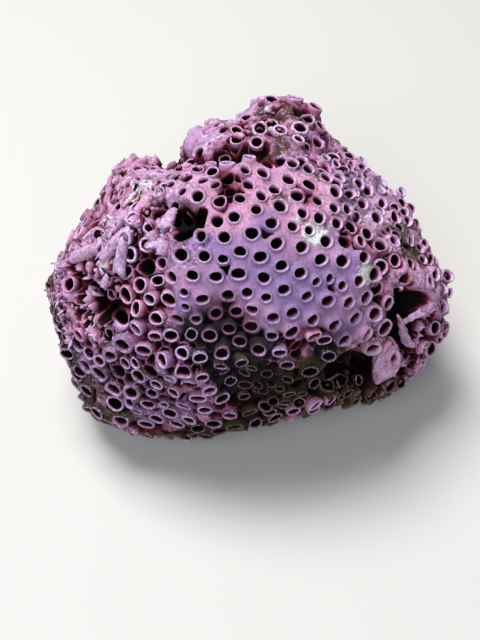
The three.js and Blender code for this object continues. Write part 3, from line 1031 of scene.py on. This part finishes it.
def shard(way, lying, scale=1.0):
    from_centre = sheet_radius(way, rng.uniform(0.0, 1.0))
    turn = rng.random() * 2 * math.pi
    side = unit(np.cross(way, ASKEW))
    side = side * math.cos(turn) + np.cross(way, side) * math.sin(turn)
    lean = math.radians(rng.uniform(*(LYING_LEANS if lying else STANDING_LEANS)))
    up = way * math.cos(lean) + np.cross(way, side) * math.sin(lean)
    out = np.cross(side, up)
    width, tall = scale * rng.uniform(*SHARD_WIDTHS), scale * rng.uniform(*SHARD_HEIGHTS)
    curve = rng.uniform(0.0, 0.9)
    x, y, z = shard_shape.T
    at_top, at_foot = z > 0.2, z < -0.2
    torn = rng.random(SHARD_STEPS + 2) * 0.6
    step = np.round((x + 0.5) * SHARD_STEPS).astype(int)
    high = np.where(at_top, tall * (1 - torn[step]), np.where(at_foot, SHARD_FOOT, 0.25 * tall))
    high = high - (0.2 if lying else 0.55)
    wide = x * width * np.where(at_top, rng.uniform(0.5, 1.0), 1.0)
    wide = wide + 0.08 * rng.normal(0, 1, len(x)) * ~at_foot
    arched = y * 1.3 + curve * (1 - (2 * x) ** 2) * 0.6
    shade = rng.random()
    # soil: the dirt of the lower front, with a painted shade in it.
    soil = patch(way[None, :], SOILED_AND_SHADED)[0] * (rng.random() < 0.75)
    return copy_at(
        shard_model,
        CENTRE + way * from_centre + np.stack([wide, arched, high], axis=1) @ np.stack([side, out, up]),
        pale=np.where(at_top, 1.0, 0.5) * rng.uniform(0.4, 1) * (1 - 0.7 * soil),
        # deep: a painted shade towards the shard's foot.
        deep=np.clip(-high * 0.3 + 0.12 * rng.random(), 0, 1),
        lilac=shade * 0.7,
        chalk=now_and_then(0.06, 0.9, 0),
        dirt=max(soil, now_and_then(0.12, 0.8, 0.1)),
    )


shard_model = flat_grid(SHARD_STEPS, 2)
bpy.ops.object.mode_set(mode="EDIT")
bpy.ops.transform.rotate(value=math.pi / 2, orient_axis="X", center_override=(0, 0, 0))
bpy.ops.object.mode_set(mode="OBJECT")
thicken(shard_model, SHARD_THICKNESS)
shard_shape = corners(shard_model.data)
shards = [shard(way, rng.random() < 0.3) for way in scattered(BROKEN, BROKEN_SHARDS)]
shards += [shard(way, rng.random() < 0.7, scale=0.6) for way in scattered(CRUST, CRUST_SHARDS)]
join_as("broken_walls", shards)
bpy.data.objects.remove(shard_model)


# Knobs of lime that have grown over the crumbled storeys and closed many of the mouths.
# One rough ball is copied with its own dents, size and place, two thirds sunk in what it grew on.
KNOB_SIZES = 0.2, 0.5
KNOB_DENTS = 0.14
CRUST_KNOBS, BROKEN_KNOBS = 150, 90


def plain_ball(subdivisions):
    bpy.ops.object.select_all(action="DESELECT")
    bpy.ops.mesh.primitive_ico_sphere_add(subdivisions=subdivisions, radius=1)
    return bpy.context.object


def knob(way):
    size = rng.uniform(*KNOB_SIZES) * np.array([1, rng.uniform(0.6, 1.3), rng.uniform(0.5, 0.9)])
    lump = knob_shape * (1 + KNOB_DENTS * rng.normal(0, 1, len(knob_shape)))[:, None] * size
    turn = unit(np.cross(way, rng.normal(0, 1, 3)))
    axes = np.stack([turn, np.cross(way, turn), way])
    # soil: the dirt of the lower front, with a painted shade in it.
    soil = patch(way[None, :], SOILED_AND_SHADED)[0]
    return copy_at(
        knob_model,
        CENTRE + way * sheet_radius(way, rng.uniform(0.6, 1.2)) + lump @ axes,
        # deep: a painted shade on the side of the knob that faces into the lime.
        deep=np.clip(0.25 - 0.5 * lump[:, 2], 0, 0.4),
        lilac=rng.random() * 0.6,
        pale=rng.random() * 0.6 * (1 - 0.7 * soil),
        chalk=now_and_then(0.06, 0.9, 0),
        dirt=max(soil, now_and_then(0.15, 0.8, 0.15)),
    )


knob_model = plain_ball(subdivisions=2)
knob_shape = corners(knob_model.data)
knobs = [knob(way) for way in scattered(CRUST, CRUST_KNOBS)]
knobs += [knob(way) for way in scattered(BROKEN, BROKEN_KNOBS)]
join_as("lime_knobs", knobs)
bpy.data.objects.remove(knob_model)


# Fallen tubes: long broken tubes that lie half buried on the left flank and on the shoulder.
# Each is turned with its growth rings, then laid along the surface from one direction to the other.
FALLEN = [
    ("left_long_tube", (-163, 22), (-154, 34), 0.78, 0.35),
    ("left_upper_tube", (-151, 31), (-149, 45), 0.85, 0.45),
    ("left_high_tube", (-159, 40), (-157, 50), 0.72, 0.5),
    ("shoulder_tube", (170, 44), (-174, 51), 0.8, 0.2),
]
FALLEN_SIDES = 14
RING_STEPS = 22
RIDGE, VALLEY = 1.13, 1.04
FALLEN_OUTLINE = [(0.86, 0.0)]
for ring_step in range(RING_STEPS + 1):
    FALLEN_OUTLINE.append((RIDGE if ring_step % 2 else VALLEY, ring_step / RING_STEPS))
FALLEN_OUTLINE += [(0.85, 1.0), (0.8, 0.85), (0.8, 0.15)]
FALLEN_INNER = 0.9


def surface_line(start, end, share, raised=0):
    ends = np.array([towards(*start), towards(*end)])
    line = unit(mix(ends[0], ends[1], share[:, None]))
    rim = lump_radius(ends) + raised * groove_depth(ends)
    return line, mix(rim[0], rim[1], share)


for name, start, end, thick, bury in FALLEN:
    model = turned(name, FALLEN_OUTLINE, FALLEN_SIDES)
    x, y, share = corners(model.data).T
    line, line_radius = surface_line(start, end, share)
    middle = unit(towards(*start) + towards(*end))
    along_way = unit(towards(*end) - towards(*start))
    side = unit(np.cross(along_way, middle))
    turn = np.arctan2(y, x)
    dent = 1 + 0.06 * np.sin(2 * turn + 5 * share + start[0]) + 0.05 * np.sin(3 * turn - 9 * share)
    torn = 0.5 * np.sin(2 * turn + start[1]) + 0.3 * np.sin(5 * turn)
    torn = np.where((share < 0.01) | (share > 0.99), torn, 0)
    spots = CENTRE + line * (line_radius - bury)[:, None] + np.outer(torn, along_way)
    spots = spots + np.outer(x * thick * dent, side) + np.outer(y * thick * dent, middle)
    ends = np.minimum(share, 1 - share)
    inner = np.hypot(x, y) < FALLEN_INNER
    # deep: a painted shade inside the tube away from its ends, and on the side of its outer wall that
    # faces the surface.
    deep = np.where(inner, smoothstep(0.0, 0.12, ends), 0.35 * smoothstep(0.3, -0.6, y))
    pale = 0.35 + 0.6 * (ends < 0.02)
    tube = copy_at(model, spots, deep=deep, lilac=0.45, pale=pale, chalk=0, dirt=0.14)
    bpy.data.objects.remove(model)
    join_as(name, [tube])


# Pale walls: long fragments of tube wall that stand up or lie on the left flank, their round side out.
# Each is a curved shard like the broken walls, stretched along the line it follows.
PALE_WALLS = [
    ((-142, 31), (-147, 42), 2.0, 0.5), ((-137, 52), (-149, 59), 2.3, 0.2),
    ((-136, 45), (-143, 53), 2.1, 0.3), ((-146, 23), (-146, 28), 1.3, 0.2),
]
WALL_STEPS, WALL_LENGTH_STEPS = 6, 9
WALL_THICKNESS = 0.25
WALLS_FACE = towards(-95, 50)
walls = []
for start, end, width, lift_off in PALE_WALLS:
    wall_piece = flat_grid(WALL_STEPS, WALL_LENGTH_STEPS)
    x, y, _ = corners(wall_piece.data).T
    torn = rng.uniform(-0.3, 0.3, WALL_STEPS + 1)[np.round((x + 0.5) * WALL_STEPS).astype(int)]
    share = y + 0.5 + torn * smoothstep(0.25, 0.5, abs(y)) * 0.3
    line, line_radius = surface_line(start, end, share)
    out_way = unit(WALLS_FACE + 0.6 * towards(*start))
    side = unit(np.cross(towards(*end) - towards(*start), out_way))
    arch = 0.3 * width * (1 - (2 * x) ** 2) + lift_off
    width_here = width * (1 - 0.35 * share) * (1 + 0.04 * rng.normal(0, 1, len(x)))
    spots = CENTRE + line * line_radius[:, None]
    place(wall_piece.data, spots + np.outer(arch, out_way) + np.outer(x * width_here, side))
    thicken(wall_piece, WALL_THICKNESS * MM, offset=-1)
    add_marks(wall_piece.data, deep=0, lilac=0.4, pale=0.55, chalk=0, dirt=0.2)
    walls.append(wall_piece)
join_as("pale_walls", walls)


# The dimpled knuckle under the right cavity: a smooth round growth with a few small closed mouths in it.
# It is one lump of lime, grown over the ends of the tubes there.
KNUCKLE_AT, KNUCKLE_SUNK = (-35, -7), 1.5
KNUCKLE_SIZE = np.array([2.5, 4.0, 1.8])
KNUCKLE_TAPER = 0.8
DIMPLES = [
    ((132, 46), 12, 0.7), ((106, 10), 7, 0.4), ((30, 50), 11, 0.4), ((-100, 35), 12, 0.4),
    ((-60, 62), 10, 0.4),
]
knuckle = plain_ball(subdivisions=5)
ways = unit(corners(knuckle.data))
swell = 1 + 0.04 * wave_sum(LEDGE_WAVES, ways * 6) + 0.8 * lumps(ways * 1.6)
# sunk_in: a painted shade in the dimples.
sunk_in = np.zeros(len(ways))
for at, reach, deep in DIMPLES:
    dip = np.exp(-((angles_to(ways, at) / reach) ** 4))
    rim = bell(angles_to(ways, at), 1.35 * reach, 0.5 * reach)
    swell = swell - deep * 0.5 * dip + 0.05 * rim
    sunk_in = sunk_in + 0.45 * dip
out_way = towards(*KNUCKLE_AT)
level_way = unit(np.cross(UP, out_way))
knuckle_axes = np.stack([level_way, np.cross(out_way, level_way), out_way])
knuckle_out = body_radius(out_way[None, :])[0] - KNUCKLE_SUNK
lump = ways * KNUCKLE_SIZE * swell[:, None]
lump[:, 0] *= 1 - KNUCKLE_TAPER * np.clip(ways[:, 1], -0.4, 1)
place(knuckle.data, CENTRE + out_way * knuckle_out + lump @ knuckle_axes)
soil = 0.16 - 0.6 * lumps(ways * 2.0)
add_marks(knuckle.data, deep=np.clip(sunk_in, 0, 1), lilac=0.3, pale=0.3, chalk=0, dirt=soil)
join_as("dimpled_knuckle", [knuckle])


# The walls left standing across the cavities: thin torn blades of lime between the tubes that are gone.
# Each is a strip bridged from rim to rim, with a ragged top, given the thickness of a tube's wall.

# From way to way, how far the top sags, how tall, whether it rises out of its groove, and how it leans.
BLADES = [
    ((-20, 1), (-30, -7), 1.6, 4.5, 0, 0), ((-30, 10), (-22, 6), 1.6, 4.0, 0, 0),
    ((-31, 10), (-25, -6), 0.9, 1.15, 1, -0.7), ((-29, 5), (-22, 3), 0.9, 0.8, 1, 0.6),
    ((-146, 57), (-138, 62), 1.0, 3.0, 0, 0), ((-134, 55), (-129, 60), 1.3, 3.0, 0, 0),
    ((-149, 17), (-143, 20), 0.6, 2.5, 0, 0), ((-97, 7), (-93, -1), 0.8, 2.5, 0, 0),
    ((-88, 7), (-86, 0), 1.0, 2.5, 0, 0),
]
BLADE_STEPS, BLADE_HEIGHT_STEPS = 14, 4
BLADE_THICKNESS = 0.3
DARK_WITHIN = 10.0
blades = []
for start, end, sag, tall, raised, leaning in BLADES:
    blade = flat_grid(BLADE_STEPS, BLADE_HEIGHT_STEPS)
    x, y, _ = corners(blade.data).T
    share = x + 0.5
    line, rim_radius = surface_line(start, end, share, raised)
    step = np.round(share * BLADE_STEPS).astype(int)
    torn = np.convolve(rng.random(BLADE_STEPS + 4), [0.3, 0.7], "same")[step] * mix(1.5, 0.5, raised)
    tall_here = (0.5 - y) * tall * mix(1, 0.35 + share, raised)
    depth = sag * (0.3 + 2.2 * share * (1 - share)) + torn + tall_here
    across_way = unit(np.cross(towards(*start), towards(*end)))
    wave = 0.35 * np.sin(5 * share + start[0]) + 0.25 * np.sin(4 * y + start[1]) + leaning * tall_here
    place(blade.data, CENTRE + line * (rim_radius - depth)[:, None] + np.outer(wave, across_way))
    thicken(blade, BLADE_THICKNESS * MM)
    from_centre = np.linalg.norm(corners(blade.data) / MM - CENTRE, axis=1)
    # deep: a painted shade, darker the further into the cavity the blade reaches.
    deep = np.interp(from_centre, [DARK_WITHIN, rim_radius.max()], [1, 0]) * mix(2.2, 0.7, raised) - 0.2
    pale = mix(0.5, 0.3, raised)
    add_marks(blade.data, deep=np.clip(deep, 0, 0.6), lilac=0.3, pale=pale, chalk=0, dirt=0.2)
    blades.append(blade)
join_as("cavity_blades", blades)


# The floor: a wide sheet of matt grey card that the lump stands on while it is looked at.
# It is staging, and no part of the coral.
FLOOR_SIZE = 3.0
FLOOR_GREY = (0.55, 0.545, 0.53, 1)
bpy.ops.mesh.primitive_plane_add(size=FLOOR_SIZE)
floor = bpy.context.object
floor.name = "floor"
paint = bpy.data.materials.new("floor_paint")
paint.use_nodes = True
paint.node_tree.nodes["Principled BSDF"].inputs["Base Color"].default_value = FLOOR_GREY
paint.node_tree.nodes["Principled BSDF"].inputs["Roughness"].default_value = 0.8
floor.data.materials.append(paint)


# The light: a warm lamp high up behind the left side, and a wider, cooler one in front of it.
# A dim bluish sky fills the shadows. Places and sizes are in metres, and both lamps face the lump.
LAMPS = [
    ("key", (-0.12, 0.1, 0.46), 0.22, 3.2, (1, 0.98, 0.96)),
    ("front", (-0.1, -0.36, 0.38), 0.3, 1.6, (0.92, 0.95, 1)),
]
LAMPS_AIM = Vector((0, 0, 0.015))
SKY_COLOUR, SKY_STRENGTH = (0.86, 0.89, 1, 1), 0.12
for name, at, size, power, tint in LAMPS:
    lamp = bpy.data.lights.new(name, "AREA")
    lamp.size = size
    lamp.energy = power
    lamp.color = tint
    lamp_object = bpy.data.objects.new(name, lamp)
    lamp_object.location = at
    lamp_object.rotation_euler = (LAMPS_AIM - Vector(at)).to_track_quat("-Z", "Y").to_euler()
    bpy.context.collection.objects.link(lamp_object)
world = bpy.data.worlds.new("studio")
world.use_nodes = True
world.node_tree.nodes["Background"].inputs["Color"].default_value = SKY_COLOUR
world.node_tree.nodes["Background"].inputs["Strength"].default_value = SKY_STRENGTH
bpy.context.scene.world = world


# The camera: it stands in front of the lump and looks down on it at 50 degrees, as in the photo.
# The frame is upright, and its height is what the lens is set for.
AIM = np.array([-1.3, -4.9, 13.5])
CAMERA_AWAY = 150
LOOKS_DOWN = math.radians(50)
lens = bpy.data.cameras.new("camera")
lens.lens = 58
lens.sensor_fit = "VERTICAL"
lens.sensor_height = 36
lens.clip_start = 0.01
camera = bpy.data.objects.new("camera", lens)
camera_out = np.array([0, -math.cos(LOOKS_DOWN), math.sin(LOOKS_DOWN)])
camera.location = Vector(((AIM + CAMERA_AWAY * camera_out) * MM).tolist())
camera.rotation_euler = (math.radians(90) - LOOKS_DOWN, 0, 0)
bpy.context.collection.objects.link(camera)
bpy.context.scene.camera = camera
bpy.context.scene.view_settings.view_transform = "Standard"
